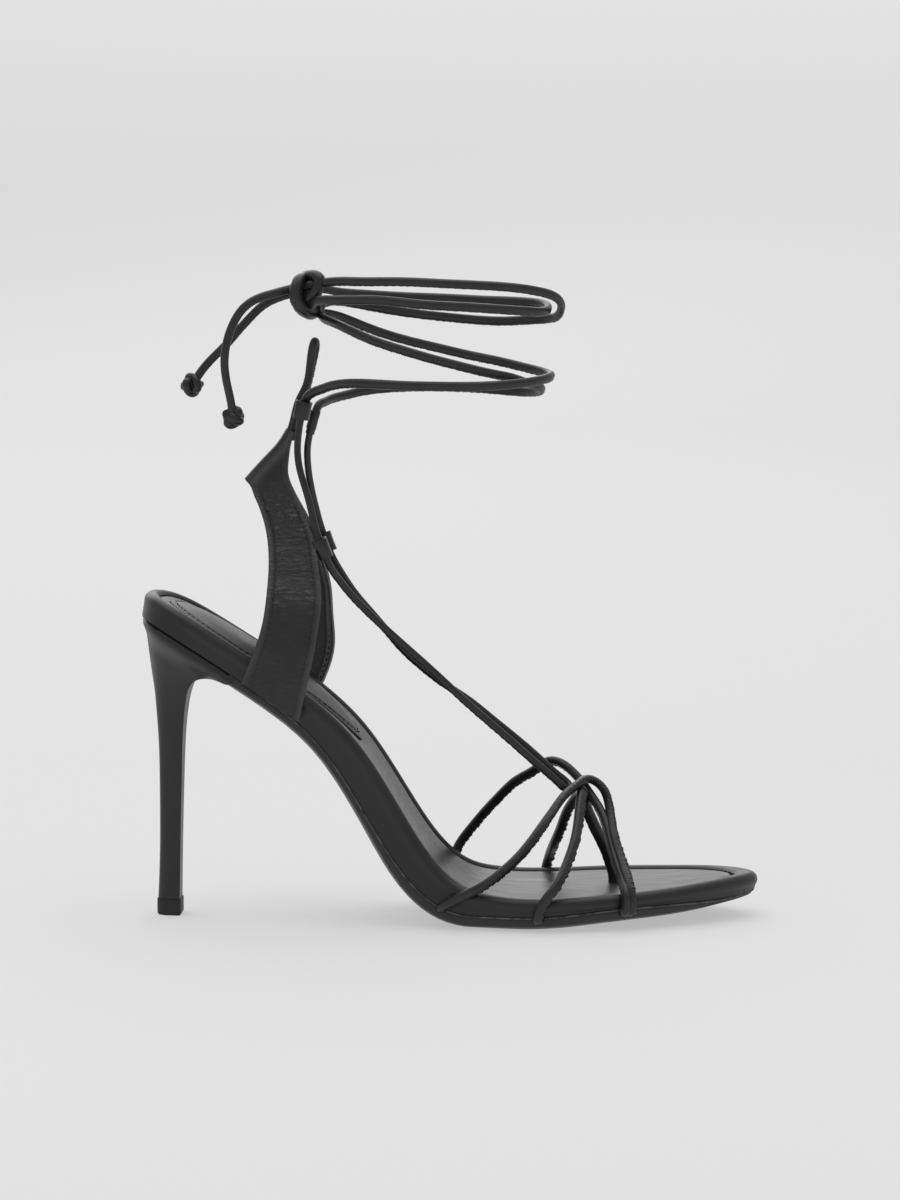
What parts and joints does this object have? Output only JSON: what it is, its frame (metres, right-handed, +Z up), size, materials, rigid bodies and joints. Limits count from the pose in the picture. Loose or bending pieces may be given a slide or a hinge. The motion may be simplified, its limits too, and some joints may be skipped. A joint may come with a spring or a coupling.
{
  "type": "stiletto sandal",
  "caption": "Strappy high-heeled sandal: slim platform sole, thin tall heel, cord straps over the toes, a sewn heel sling and a long tie that winds round the ankle.",
  "frame": {"origin": "centre of the shoe's box without the free tie, on the floor", "axes": "+X from heel to toe, +Y to the inner (medial) side, +Z up"},
  "size_m": [0.2091, 0.0843, 0.2196],
  "materials": {
    "midsole_leather": "satin black",
    "footbed_leather": "glossy black",
    "heel_pad_leather": "soft glossy black",
    "outsole_leather": "dyed black, dull",
    "heel_leather": "satin black",
    "heel_tip_rubber": "dull black",
    "strap_leather": "satin black, rolled and sewn",
    "sling_leather": "satin black, sewn along both edges",
    "loop_leather": "satin black",
    "tie_leather": "satin black, rolled cord",
    "keeper_leather": "satin black"
  },
  "bodies": {
    "root": {"covered_midsole": "midsole_leather", "insole": "footbed_leather", "heel_pad": "heel_pad_leather", "outsole": "outsole_leather", "heel": "heel_leather", "heel_tip": "heel_tip_rubber", "vamp_straps": "strap_leather", "heel_sling": "sling_leather", "back_loop": "loop_leather", "instep_tie": "tie_leather", "lateral_lower_keeper": "keeper_leather", "lateral_upper_keeper": "keeper_leather", "medial_lower_keeper": "keeper_leather", "medial_upper_keeper": "keeper_leather", "lateral_tie_wrap": "tie_leather", "medial_tie_wrap": "tie_leather", "tie_knot": "tie_leather", "lateral_tie_tail": "tie_leather", "medial_tie_tail": "tie_leather", "lateral_end_knot": "tie_leather", "medial_end_knot": "tie_leather"}
  },
  "joints": []
}
